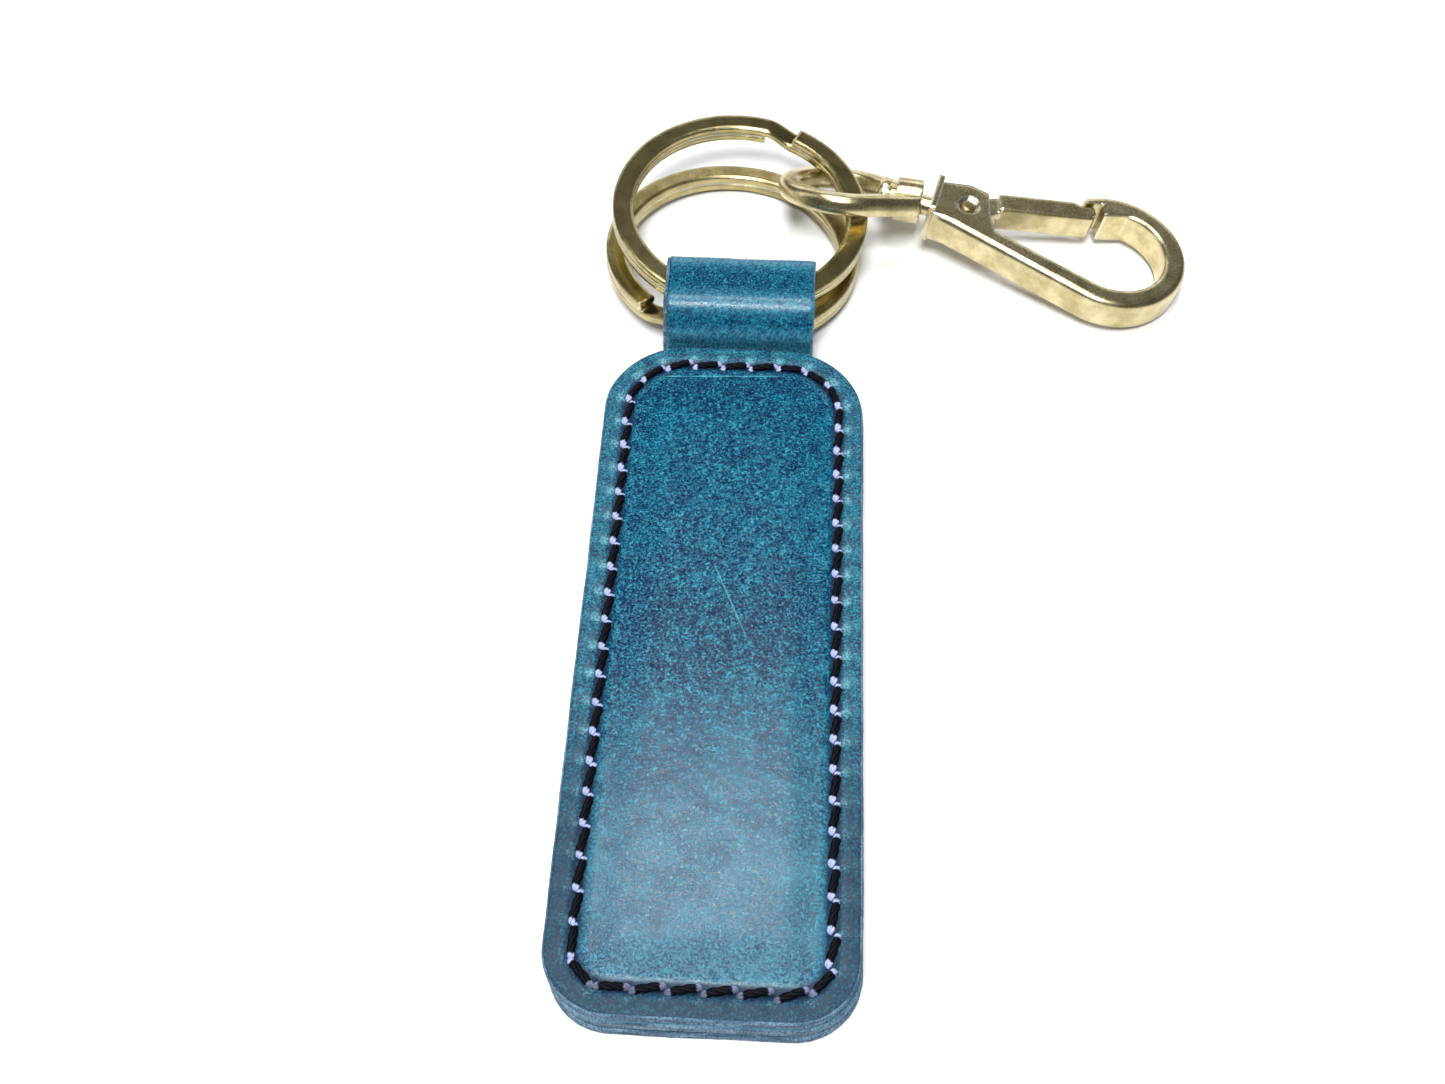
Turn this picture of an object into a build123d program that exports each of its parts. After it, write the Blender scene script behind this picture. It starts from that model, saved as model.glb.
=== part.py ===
from build123d import *
from math import cos, radians, sin
import os

os.makedirs("parts", exist_ok=True)

# A leather fob with a strap loop, two split rings and a swivel snap hook, lying flat on a table.
# Millimetres. The origin is the middle of the fob's back, +Y runs to the strap, +Z is up.

# leather fob: three layers sewn together
fob_width = 30.0
fob_length = 80.3
layer = 1.55
layer_gap = 0.05
top_corner = 9.5
bottom_corner = 6.5
edge_round = 0.3
mouth_y = fob_length / 2
filler_bottom = layer + layer_gap
front_bottom = 2 * (layer + layer_gap)
front_top = front_bottom + layer

# sewing: a groove in the front and the back layer, each with its thread
stitch_inset = 2.8
groove_width = 1.1
groove_depth = 0.4
thread_width = 0.8
thread_height = 0.36
thread_gap = 0.02

# strap: one folded strip of thin leather, its two ends sewn in between the outer layers
strap_width = 18.0
strap_leather = 0.76
strap_tail = 15.0
notch_side_gap = 0.2
notch_end_gap = 0.5
strap_top_z = 8.8
strap_low_z = 0.82
strap_near = 1.2
strap_shoulder_z = 5.6
strap_crest = 3.6
strap_far = 11.65
strap_fall_z = 2.9
strap_under_far = 10.1
strap_under_near = 5.0
strap_dive = 1.7
strap_bends = (0.6, 1.5, 1.8, 2.3, 1.2, 0.9, 2.0, 2.0)
sewn_in_gap = 0.03
upper_leaf_z = front_bottom - sewn_in_gap - strap_leather / 2
lower_leaf_z = layer + sewn_in_gap + strap_leather / 2

# split rings: two turns of flat wire
ring_radius = 16.0
wire_width = 2.5
turn_height = 1.1
turn_gap = 0.06
wire_round = 0.3
jog_angle = 16.0
jog_steps = 8
wire_middle = ring_radius - wire_width / 2
turn_centre = (turn_height + turn_gap) / 2
ring_height = 2 * turn_height + turn_gap

# swivel eye: a pear-shaped loop that ends in a drilled barrel
eye_outer = 8.2
eye_bar_width = 2.8
eye_bar_height = 2.6
eye_bar_round = 1.0
eye_end = 10.1
eye_end_half = 3.7
eye_end_block = 2.0
eye_throat = 3.9
eye_throat_radius = 2.9
barrel_start = 6.8
barrel_radius = 2.75
swivel_bore = 1.75

# swivel stud: a shank riveted into the hook, with a domed head inside the eye
shank_radius = 1.25
shank_fit = 0.02
stud_head_radius = 2.0
stud_head_height = 1.3
stud_head_round = 0.7
stud_head_back = 5.5
stud_root = 1.9
stud_end_gap = 0.05

# snap hook, its long axis through the middle of the shank
hook_height = 4.5
flange_size = 6.0
flange_thick = 0.8
flange_round = 0.2
bend_x = 23.7
bend_outer = 9.15
bend_inner = 6.45
cheek_side = 2.5
cheek_shoulder = (4.2, 3.4)
cheek_front = (6.7, 2.9)
cheek_crotch = (7.6, -0.6)
cheek_foot = (8.9, -3.4)
cheek_round = 0.4
arm_start = (0.9, -3.2)
arm_heel = (0.9, -2.4)
arm_inner_start = (7.6, -2.4)
outer_tangent = -105.4
inner_tangent = -105.0
lip_angle = 125.0
nose_angle = 84.7
lip_inside = (18.7, 6.75)
lip_root = (20.9, 7.15)
nose_corner = (21.5, 5.35)
outer_edge = 0.8
inner_edge = 0.5
slot_height = 2.6
slot_back = 2.5
slot_side = -2.0
slot_reach = 8.0
long_rim = 20.0
rim_side = 1.5
short_rim = 10.0

# gate, gate pin and gate spring
pin_x = 4.6
pin_radius = 0.9
pin_fit = 0.03
pin_dome = 0.3
pin_sunk = 0.05
recess_radius = 1.35
recess_depth = 0.35
gate_height = 3.7
gate_edge = 0.35
gate_corner = 0.25
gate_long_edge = 5.0
gate_heel_out = (7.9, 4.0)
gate_heel_in = (8.6, 1.3)
gate_tip_in = (20.2, 4.55)
gate_tip = (20.5, 5.6)
gate_tip_out = (20.1, 6.7)
gate_step_in = (18.2, 6.35)
gate_step_out = (17.4, 6.62)
neck_heel_out = (8.6, 3.9)
neck_heel_in = (9.2, 1.7)
neck_root_in = (5.6, -1.6)
neck_root_out = (4.0, 1.85)
hub_radius = 1.95
hub_height = 1.25
hub_gap = 0.05
spring_wire = 0.26
spring_radius = 1.3
spring_pitch = 0.29
spring_turns = 3
spring_gap = 0.02

# where the metal pieces lie
upper_ring_at = (-0.6, mouth_y + 20.45, 8.2 - ring_height / 2)
upper_ring_tilt = (2.8, 3.8)
upper_ring_cut = 63.0
lower_ring_at = (-1.45, mouth_y + 17.88, 3.63 - ring_height / 2)
lower_ring_tilt = (-4.05, 2.5)
lower_ring_cut = 227.0
hook_at = (23.3, mouth_y + 23.6, 6.18)
hook_yaw = -14.1
hook_pitch = 6.9
flange_to_barrel = 2.75
eye_yaw = -8.5
eye_pitch = 0.0
eye_roll = -30.0
barrel_middle = (barrel_start + eye_end) / 2
same_level = 0.01


# outline that the three layers share
with BuildSketch() as fob_outline:
    Rectangle(fob_width, fob_length)
    fillet(fob_outline.vertices().group_by(Axis.Y)[-1], top_corner)
    fillet(fob_outline.vertices().group_by(Axis.Y)[0], bottom_corner)

# line of the sewing, as a groove and as the thread that lies in it
with BuildSketch() as groove_outline:
    offset(fob_outline.sketch, amount=groove_width / 2 - stitch_inset)
    offset(fob_outline.sketch, amount=-groove_width / 2 - stitch_inset, mode=Mode.SUBTRACT)

with BuildSketch() as thread_outline:
    offset(fob_outline.sketch, amount=thread_width / 2 - stitch_inset)
    offset(fob_outline.sketch, amount=-thread_width / 2 - stitch_inset, mode=Mode.SUBTRACT)

# front layer
with BuildPart() as front_panel:
    with BuildSketch(Plane.XY.offset(front_bottom)):
        add(fob_outline.sketch)
    extrude(amount=layer)
    fillet(front_panel.faces().sort_by(Axis.Z)[-1].edges(), edge_round)
    with BuildSketch(Plane.XY.offset(front_top)):
        add(groove_outline.sketch)
    extrude(amount=-groove_depth, mode=Mode.SUBTRACT)

# back layer
with BuildPart() as back_panel:
    with BuildSketch(Plane.XY):
        add(fob_outline.sketch)
    extrude(amount=layer)
    fillet(back_panel.faces().sort_by(Axis.Z)[0].edges(), edge_round)
    with BuildSketch(Plane.XY):
        add(groove_outline.sketch)
    extrude(amount=groove_depth, mode=Mode.SUBTRACT)

# filler layer, notched for the two ends of the strap
with BuildPart() as filler_panel:
    with BuildSketch(Plane.XY.offset(filler_bottom)):
        add(fob_outline.sketch)
        with Locations((0, mouth_y)):
            Rectangle(
                strap_width + 2 * notch_side_gap,
                2 * (strap_tail + notch_end_gap),
                mode=Mode.SUBTRACT,
            )
    extrude(amount=layer)

# thread on the front and thread on the back
with BuildPart() as needle_thread:
    with BuildSketch(Plane.XY.offset(front_top - groove_depth + thread_gap)):
        add(thread_outline.sketch)
    extrude(amount=thread_height)

with BuildPart() as bobbin_thread:
    with BuildSketch(Plane.XY.offset(groove_depth - thread_gap)):
        add(thread_outline.sketch)
    extrude(amount=-thread_height)

# strap: out of the mouth over both rings, down their far side and back in underneath
with BuildPart() as strap_loop:
    with BuildSketch(Plane.YZ.offset(-strap_width / 2)):
        with BuildLine():
            FilletPolyline(
                (mouth_y - strap_tail, upper_leaf_z),
                (mouth_y + strap_near, upper_leaf_z),
                (mouth_y + strap_near, strap_shoulder_z),
                (mouth_y + strap_crest, strap_top_z),
                (mouth_y + strap_far, strap_top_z),
                (mouth_y + strap_far, strap_fall_z),
                (mouth_y + strap_under_far, strap_low_z),
                (mouth_y + strap_under_near, strap_low_z),
                (mouth_y + strap_dive, lower_leaf_z),
                (mouth_y - strap_tail, lower_leaf_z),
                radius=strap_bends,
            )
        trace(line_width=strap_leather)
    extrude(amount=strap_width)

# one split ring, lying flat: the lower turn, the jog up and the upper turn
turn_arc = 360 - jog_angle
with BuildPart() as flat_ring:
    for turn_z in (-turn_centre, turn_centre):
        with BuildSketch(Plane.XZ):
            with Locations((wire_middle, turn_z)):
                RectangleRounded(wire_width, turn_height, wire_round)
        revolve(axis=Axis.Z, revolution_arc=turn_arc)
    for step in range(jog_steps + 1):
        share = step / jog_steps
        ease = share * share * (3 - 2 * share)
        around = jog_angle * (share - 1)
        middle = (
            wire_middle * cos(radians(around)),
            wire_middle * sin(radians(around)),
            turn_centre * (2 * ease - 1),
        )
        section = Plane(
            origin=middle,
            x_dir=(cos(radians(around)), sin(radians(around)), 0),
            z_dir=(-sin(radians(around)), cos(radians(around)), 0),
        )
        with BuildSketch(section):
            RectangleRounded(wire_width, turn_height, wire_round)
    loft()

upper_ring_place = (
    Pos(*upper_ring_at)
    * Rot(Y=upper_ring_tilt[1])
    * Rot(X=upper_ring_tilt[0])
    * Rot(Z=upper_ring_cut + jog_angle)
)
with BuildPart() as split_ring_upper:
    with Locations(upper_ring_place):
        add(flat_ring.part)

lower_ring_place = (
    Pos(*lower_ring_at)
    * Rot(Y=lower_ring_tilt[1])
    * Rot(X=lower_ring_tilt[0])
    * Rot(Z=lower_ring_cut + jog_angle)
)
with BuildPart() as split_ring_lower:
    with Locations(lower_ring_place):
        add(flat_ring.part)

# snap hook, flat: flange, cheeks with the gate slot, arm, bend and nose
bend_middle = (bend_x, 0)
with BuildPart() as flat_hook:
    with BuildSketch(Plane.XY.offset(-hook_height / 2)):
        with BuildLine():
            outside = CenterArc(bend_middle, bend_outer, outer_tangent, lip_angle - outer_tangent)
            inside = CenterArc(bend_middle, bend_inner, nose_angle, inner_tangent - nose_angle)
            Polyline(outside @ 1, lip_inside, lip_root, nose_corner, inside @ 0)
            Polyline(inside @ 1, arm_inner_start, arm_heel, arm_start, outside @ 0)
        make_face()
        with BuildLine():
            FilletPolyline(
                (flange_thick / 2, arm_start[1]),
                (flange_thick / 2, cheek_side),
                cheek_shoulder,
                cheek_front,
                cheek_crotch,
                cheek_foot,
                close=True,
                radius=cheek_round,
            )
        make_face()
    extrude(amount=hook_height)
    rims = flat_hook.edges().filter_by(lambda e: abs(abs(e.center().Z) - hook_height / 2) < same_level)
    fillet([rim for rim in rims if rim.length > long_rim and abs(rim.center().Y) > rim_side], outer_edge)
    rims = flat_hook.edges().filter_by(lambda e: abs(abs(e.center().Z) - hook_height / 2) < same_level)
    fillet([rim for rim in rims if rim.length > short_rim], inner_edge)
    with BuildSketch(Plane.XY.offset(-slot_height / 2)):
        with Locations((slot_back, slot_side)):
            Rectangle(slot_reach, slot_reach, align=(Align.MIN, Align.MIN))
    extrude(amount=slot_height, mode=Mode.SUBTRACT)
    with BuildSketch(Plane.YZ):
        RectangleRounded(flange_size, flange_size, flange_round)
    extrude(amount=flange_thick)
    with BuildSketch(Plane.YZ):
        Circle(shank_radius + shank_fit)
    extrude(amount=stud_root, mode=Mode.SUBTRACT)
    with BuildSketch(Plane.XY.offset(-hook_height / 2)):
        with Locations((pin_x, 0)):
            Circle(pin_radius + pin_fit)
    extrude(amount=hook_height, mode=Mode.SUBTRACT)
    for face_z, inward in ((hook_height / 2, -1), (-hook_height / 2, 1)):
        with BuildSketch(Plane.XY.offset(face_z)):
            with Locations((pin_x, 0)):
                Circle(recess_radius)
        extrude(amount=inward * recess_depth, mode=Mode.SUBTRACT)

# gate, flat: hub on the pin, neck, and the bar whose tongue rests inside the nose
with BuildPart() as flat_gate:
    with BuildSketch(Plane.XY.offset(-gate_height / 2)):
        with BuildLine():
            FilletPolyline(
                gate_heel_out,
                gate_heel_in,
                gate_tip_in,
                gate_tip,
                gate_tip_out,
                gate_step_in,
                gate_step_out,
                close=True,
                radius=gate_corner,
            )
        make_face()
    extrude(amount=gate_height)
    for side in (-1, 0):
        rims = flat_gate.faces().sort_by(Axis.Z)[side].edges()
        fillet([rim for rim in rims if rim.length > gate_long_edge], gate_edge)
    with BuildSketch(Plane.XY.offset(slot_height / 2 - hub_gap - hub_height)):
        with Locations((pin_x, 0)):
            Circle(hub_radius)
        with BuildLine():
            Polyline(neck_root_out, neck_heel_out, neck_heel_in, neck_root_in, close=True)
        make_face()
    extrude(amount=hub_height)
    with BuildSketch(Plane.XY.offset(-hook_height / 2)):
        with Locations((pin_x, 0)):
            Circle(pin_radius + pin_fit)
    extrude(amount=hook_height, mode=Mode.SUBTRACT)

# gate pin with a domed rivet head at each end, sunk in its recess
with BuildPart() as flat_pin:
    with BuildSketch(Plane.XY.offset(pin_sunk - hook_height / 2)):
        with Locations((pin_x, 0)):
            Circle(pin_radius)
    extrude(amount=hook_height - 2 * pin_sunk)
    fillet(flat_pin.edges().filter_by(GeomType.CIRCLE), pin_dome)

# torsion spring round the pin, under the gate's hub
spring_low = spring_gap + spring_wire / 2 - slot_height / 2
with BuildPart() as flat_spring:
    with BuildLine(Plane.XY.offset(spring_low)):
        coil = Helix(pitch=spring_pitch, height=spring_pitch * spring_turns, radius=spring_radius)
    with BuildSketch(Plane(origin=coil @ 0, z_dir=coil % 0)):
        Circle(spring_wire / 2)
    sweep(is_frenet=True)

# swivel stud, lying along the hook's axis
with BuildPart() as flat_stud:
    with BuildSketch(Plane.YZ.offset(-stud_head_back)):
        Circle(shank_radius)
    extrude(amount=stud_head_back + stud_root - stud_end_gap)
    with BuildSketch(Plane.YZ.offset(-stud_head_back - stud_head_height)):
        Circle(stud_head_radius)
    extrude(amount=stud_head_height)
    fillet(flat_stud.edges().filter_by(GeomType.CIRCLE).sort_by(Axis.X)[0], stud_head_round)

hook_place = Pos(*hook_at) * Rot(Z=hook_yaw) * Rot(Y=hook_pitch)
with BuildPart() as hook_body:
    with Locations(hook_place):
        add(flat_hook.part)

with BuildPart() as gate:
    with Locations(hook_place):
        add(flat_gate.part)

with BuildPart() as gate_pin:
    with Locations(hook_place):
        add(flat_pin.part)

with BuildPart() as gate_spring:
    with Locations(hook_place * Pos(pin_x, 0, 0)):
        add(flat_spring.part)

with BuildPart() as swivel_stud:
    with Locations(hook_place):
        add(flat_stud.part)

# swivel eye, flat: pear-shaped loop with the barrel at its narrow end
with BuildPart() as flat_eye:
    with BuildSketch(Plane.XY.offset(-eye_bar_height / 2)):
        Circle(eye_outer)
        with Locations((eye_end - eye_end_block / 2, 0)):
            Rectangle(eye_end_block, 2 * eye_end_half)
        make_hull()
    extrude(amount=eye_bar_height)
    with BuildSketch(Plane.XY.offset(-eye_bar_height / 2)) as eye_hole:
        Circle(eye_outer - eye_bar_width)
        with Locations((eye_throat, 0)):
            Circle(eye_throat_radius)
        make_hull()
    extrude(amount=eye_bar_height, mode=Mode.SUBTRACT)
    rims = flat_eye.edges().filter_by(lambda e: abs(abs(e.center().Z) - eye_bar_height / 2) < same_level)
    fillet([rim for rim in rims if eye_end - rim.center().X > same_level], eye_bar_round)
    with BuildSketch(Plane.YZ.offset(barrel_start)):
        Circle(barrel_radius)
    extrude(amount=eye_end - barrel_start)
    with BuildSketch(Plane.YZ.offset(eye_throat)):
        Circle(swivel_bore)
    extrude(amount=eye_end - eye_throat, mode=Mode.SUBTRACT)

eye_place = (
    hook_place
    * Pos(-flange_to_barrel, 0, 0)
    * Rot(Y=-hook_pitch)
    * Rot(Z=eye_yaw - hook_yaw)
    * Rot(Y=eye_pitch)
    * Rot(X=eye_roll)
    * Pos(-barrel_middle, 0, 0)
)
with BuildPart() as swivel_eye:
    with Locations(eye_place):
        add(flat_eye.part)

front_panel.part.label = "front_panel"
export_step(front_panel.part, "parts/front_panel.step")
filler_panel.part.label = "filler_panel"
export_step(filler_panel.part, "parts/filler_panel.step")
back_panel.part.label = "back_panel"
export_step(back_panel.part, "parts/back_panel.step")
needle_thread.part.label = "needle_thread"
export_step(needle_thread.part, "parts/needle_thread.step")
bobbin_thread.part.label = "bobbin_thread"
export_step(bobbin_thread.part, "parts/bobbin_thread.step")
strap_loop.part.label = "strap_loop"
export_step(strap_loop.part, "parts/strap_loop.step")
split_ring_upper.part.label = "split_ring_upper"
export_step(split_ring_upper.part, "parts/split_ring_upper.step")
split_ring_lower.part.label = "split_ring_lower"
export_step(split_ring_lower.part, "parts/split_ring_lower.step")
swivel_eye.part.label = "swivel_eye"
export_step(swivel_eye.part, "parts/swivel_eye.step")
swivel_stud.part.label = "swivel_stud"
export_step(swivel_stud.part, "parts/swivel_stud.step")
hook_body.part.label = "hook_body"
export_step(hook_body.part, "parts/hook_body.step")
gate.part.label = "gate"
export_step(gate.part, "parts/gate.step")
gate_pin.part.label = "gate_pin"
export_step(gate_pin.part, "parts/gate_pin.step")
gate_spring.part.label = "gate_spring"
export_step(gate_spring.part, "parts/gate_spring.step")
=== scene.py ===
# %% [markdown]
# # A sewn leather key fob with two split rings and a swivel hook
# The metal pieces have their final shape already, so they keep their meshes and only get a finish.
# Leather and thread are soft, and a plain solid never looks like them, so every leather layer, the
# strap and each single stitch is built again here, at the same size and in the same place.
# Lengths are in millimetres, and MM turns them into Blender's metres where a mesh is written.

# %% Load the fixed frame
import math
import bpy
import bmesh
import numpy as np
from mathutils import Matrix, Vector


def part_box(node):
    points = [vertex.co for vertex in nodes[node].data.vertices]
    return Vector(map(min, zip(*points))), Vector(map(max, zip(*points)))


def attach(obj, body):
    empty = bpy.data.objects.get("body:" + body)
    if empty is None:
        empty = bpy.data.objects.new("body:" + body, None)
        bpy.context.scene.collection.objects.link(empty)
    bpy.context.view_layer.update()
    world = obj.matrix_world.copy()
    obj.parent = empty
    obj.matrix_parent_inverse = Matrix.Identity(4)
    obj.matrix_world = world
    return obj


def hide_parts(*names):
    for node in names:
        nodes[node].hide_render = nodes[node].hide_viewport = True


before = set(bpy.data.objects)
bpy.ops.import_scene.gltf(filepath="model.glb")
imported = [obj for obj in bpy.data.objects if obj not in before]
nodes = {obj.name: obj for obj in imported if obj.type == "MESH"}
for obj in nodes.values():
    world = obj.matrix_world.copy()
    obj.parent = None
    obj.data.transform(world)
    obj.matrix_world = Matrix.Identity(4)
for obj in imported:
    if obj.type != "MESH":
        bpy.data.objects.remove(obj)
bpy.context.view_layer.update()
MM = 0.001
print("nodes", sorted(nodes))

# %% [markdown]
# ## Camera, floor and light
# The keychain lies flat and is looked down on from its lower end. The floor is a plain white sheet.
# A big soft lamp over the camera's shoulder does most of the work, and a second one beyond the
# object is there to be mirrored: it lays a broad dull sheen on the lower half of the waxed leather.

# %% Camera and floor
EYE_PLACE = (0.0043, -0.0820, 0.1460)
LOOK_DOWN = math.radians(56.25)
LOOK_ASIDE = math.radians(2.86)
FLOOR_HALF = 3.0


def stage_camera():
    data = bpy.data.cameras.new("camera")
    camera = bpy.data.objects.new("camera", data)
    bpy.context.scene.collection.objects.link(camera)
    camera.location = EYE_PLACE
    camera.rotation_euler = (math.pi / 2 - LOOK_DOWN, 0, LOOK_ASIDE)
    data.sensor_width = 36
    data.lens = 38.6
    data.clip_start = 0.002
    data.clip_end = 20
    bpy.context.scene.camera = camera


def stage_floor():
    mesh = bpy.data.meshes.new("floor")
    sides = ((-1, -1), (1, -1), (1, 1), (-1, 1))
    corners = [(x * FLOOR_HALF, y * FLOOR_HALF, 0) for x, y in sides]
    mesh.from_pydata(corners, [], [(0, 1, 2, 3)])
    floor = bpy.data.objects.new("floor", mesh)
    bpy.context.scene.collection.objects.link(floor)
    return floor


stage_camera()
floor = stage_floor()
print("camera", EYE_PLACE, "floor", 2 * FLOOR_HALF, "m square")


# %% Lamps
def soft_lamp(name, place, aim, size, power):
    data = bpy.data.lights.new(name, "AREA")
    data.shape = "RECTANGLE"
    data.size, data.size_y = size
    data.energy = power
    lamp = bpy.data.objects.new(name, data)
    bpy.context.scene.collection.objects.link(lamp)
    lamp.location = place
    back = [p - a for p, a in zip(place, aim)]
    lamp.rotation_mode = "QUATERNION"
    lamp.rotation_quaternion = Vector(back).to_track_quat("Z", "Y")
    print(name, power, "W")


LAMPS = (
    # name, place, aim, size, watts
    ("key_lamp", (-0.05, -0.28, 0.72), (0, 0.02, 0), (0.26, 0.26), 6.8),
    ("sheen_lamp", (-0.03, 0.158, 0.50), (0, -0.025, 0), (0.24, 0.12), 1.3),
    ("back_card", (0.0, 0.60, 0.24), (0, 0.06, 0), (0.9, 0.20), 1.1),
    ("side_card", (-0.55, 0.05, 0.30), (0, 0.05, 0), (0.25, 0.6), 0.6),
)
for lamp in LAMPS:
    soft_lamp(*lamp)
world = bpy.data.worlds.new("studio")
bpy.context.scene.world = world
world.use_nodes = True
sky_colour, sky_strength = world.node_tree.nodes["Background"].inputs[:2]
sky_colour.default_value = (0.93, 0.96, 1.0, 1)
sky_strength.default_value = 0.10
bpy.context.scene.view_settings.view_transform = "Standard"

# %% [markdown]
# ## Writing finishes
# A finish is a small calculation: noise, masks and colours added and multiplied together. Wiring
# that node by node hides the idea, so a Wire wraps one socket and understands + - * and **, and a
# Finish makes every other node through one method. Patterns read the object's own coordinates, in
# millimetres, so that a noise scale of 1 gives blotches about a millimetre across.


# %% Sockets that understand arithmetic
class Wire:
    def __init__(self, finish, socket):
        self.finish = finish
        self.socket = socket

    def maths(self, operation, first, second=0.0, clamp=False):
        settings = {"operation": operation, "use_clamp": clamp}
        return self.finish.node("Math", settings, {0: first, 1: second})

    def __add__(self, other):
        return self.maths("ADD", self, other)

    __radd__ = __add__

    def __mul__(self, other):
        return self.maths("MULTIPLY", self, other)

    __rmul__ = __mul__

    def __sub__(self, other):
        return self.maths("SUBTRACT", self, other)

    def __rsub__(self, other):
        return self.maths("SUBTRACT", other, self)

    def __pow__(self, other):
        return self.maths("POWER", self, other)

    def most(self, other):
        return self.maths("MAXIMUM", self, other)

    def size(self):
        return self.maths("ABSOLUTE", self)

    def held(self):
        return self.maths("ADD", self, 0.0, clamp=True)

    def ramp(self, low, high):
        """0 below low, 1 above high, smooth in between."""
        settings = {"interpolation_type": "SMOOTHSTEP"}
        wires = {0: self, 1: low, 2: high, 3: 0.0, 4: 1.0}
        return self.finish.node("MapRange", settings, wires)


class Finish:
    def __init__(self, name):
        self.material = bpy.data.materials.new(name)
        self.material.use_nodes = True
        self.tree = self.material.node_tree
        self.tree.nodes.clear()

    def node(self, kind, settings=None, wires=None, out=0):
        made = self.tree.nodes.new("ShaderNode" + kind)
        for name, value in (settings or {}).items():
            setattr(made, name, value)
        for key, value in (wires or {}).items():
            if isinstance(value, Wire):
                self.tree.links.new(value.socket, made.inputs[key])
            else:
                made.inputs[key].default_value = value
        return Wire(self, made.outputs[out])

    def place(self):
        """The point on the object, in millimetres."""
        spot = self.node("TexCoord", out=3)
        return self.node("VectorMath", {"operation": "SCALE"}, {0: spot, 3: 1 / MM})

    def noise(self, place, scale, detail=2.0, rough=0.5):
        wires = {"Vector": place, "Scale": scale, "Detail": detail, "Roughness": rough}
        return self.node("TexNoise", None, wires)

    def cells(self, place, scale):
        return self.node("TexVoronoi", None, {"Vector": place, "Scale": scale})

    def stretched(self, place, factors):
        return self.node("VectorMath", {"operation": "MULTIPLY"}, {0: place, 1: factors})

    def parts(self, vector):
        split = self.node("SeparateXYZ", None, {0: vector})
        outputs = split.socket.node.outputs
        return [Wire(self, outputs[i]) for i in range(3)]

    def stored(self, name, out=2):
        """A value that was written on the mesh: out 2 is a number, out 1 a vector."""
        return self.node("Attribute", {"attribute_name": name}, out=out)

    def mix(self, share, first, second):
        first = first if isinstance(first, Wire) else (*first, 1.0)
        second = second if isinstance(second, Wire) else (*second, 1.0)
        return self.node("Mix", {"data_type": "RGBA"}, {0: share, 6: first, 7: second}, out=2)

    def bump(self, height, strength, depth_mm, under=None):
        wires = {"Strength": strength, "Distance": depth_mm * MM, "Height": height}
        if under is not None:
            wires["Normal"] = under
        return self.node("Bump", None, wires)

    def surface(self, **wires):
        shader = self.node("BsdfPrincipled", None, {k.replace("_", " "): v for k, v in wires.items()})
        output = self.tree.nodes.new("ShaderNodeOutputMaterial")
        self.tree.links.new(shader.socket, output.inputs[0])
        return self.material


def dress(thing, material):
    """Gives a mesh that one material."""
    thing.data.materials.clear()
    thing.data.materials.append(material)


# %% Floor finish
paper = Finish("white_paper")
grain = paper.noise(paper.place(), 0.4, 3.0)
paper_colour = paper.mix(grain, (0.86, 0.86, 0.87), (0.90, 0.90, 0.90))
dress(floor, paper.surface(Base_Color=paper_colour, Roughness=0.9))
print("floor finish has", len(paper.tree.nodes), "nodes")

# %% [markdown]
# ## Outlines
# All three leather layers share one outline, a long rounded rectangle with wider corners at the top.
# Points are spread evenly round it, each with its outward direction. Moving a point inwards along
# that direction gives the sewing line, and a stack of such inset loops gives the whole face.


# %% Points round the fob
low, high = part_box("front_panel")
half_width = (high.x - low.x) / 2 / MM
half_length = (high.y - low.y) / 2 / MM
TOP_CORNER, BOTTOM_CORNER = 9.5, 6.5
ROUND_POINTS = 1160
STITCH_INSET = 2.8
STITCHES = 57


def fob_outline(count):
    """Points and outward normals, evenly spaced, from the middle of the foot round by the right."""
    w, h, rt, rb = half_width, half_length, TOP_CORNER, BOTTOM_CORNER
    quarter = math.pi / 2
    runs = [
        ("line", (0, -h), (w - rb, -h), (0, -1)),
        ("arc", (w - rb, -h + rb), rb, -quarter),
        ("line", (w, -h + rb), (w, h - rt), (1, 0)),
        ("arc", (w - rt, h - rt), rt, 0),
        ("line", (w - rt, h), (rt - w, h), (0, 1)),
        ("arc", (rt - w, h - rt), rt, quarter),
        ("line", (-w, h - rt), (-w, rb - h), (-1, 0)),
        ("arc", (rb - w, rb - h), rb, 2 * quarter),
        ("line", (rb - w, -h), (0, -h), (0, -1)),
    ]
    lengths = [math.dist(r[1], r[2]) if r[0] == "line" else r[2] * quarter for r in runs]
    total = sum(lengths)
    points, normals = [], []
    for i in range(count):
        along = total * i / count
        k = 0
        while along > lengths[k]:
            along -= lengths[k]
            k += 1
        kind, a, b, c = runs[k]
        share = along / lengths[k]
        if kind == "line":
            points.append((a[0] + (b[0] - a[0]) * share, a[1] + (b[1] - a[1]) * share))
            normals.append(c)
        else:
            turn = c + quarter * share
            points.append((a[0] + b * math.cos(turn), a[1] + b * math.sin(turn)))
            normals.append((math.cos(turn), math.sin(turn)))
    return np.array(points), np.array(normals)


edge_points, edge_normals = fob_outline(ROUND_POINTS)
sewing_line = edge_points - STITCH_INSET * edge_normals
sewing_steps = np.linalg.norm(np.roll(sewing_line, -1, 0) - sewing_line, axis=1)
sewing_run = np.concatenate(([0], np.cumsum(sewing_steps)))
sewing_length = sewing_run[-1]
stitch_count_at = sewing_run[:-1] / sewing_length * STITCHES
print("sewing line", round(sewing_length, 1), "mm, one stitch", round(sewing_length / STITCHES, 2), "mm")

# %% [markdown]
# ## A leather layer
# The face is pressed down along the sewing, most of all where the needle went through, stands up
# softly inside it and is rounded over at its rim. Each layer was cut by hand and glued a hair out
# of line, so the lower ones peep out at the right and at the foot.


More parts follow.
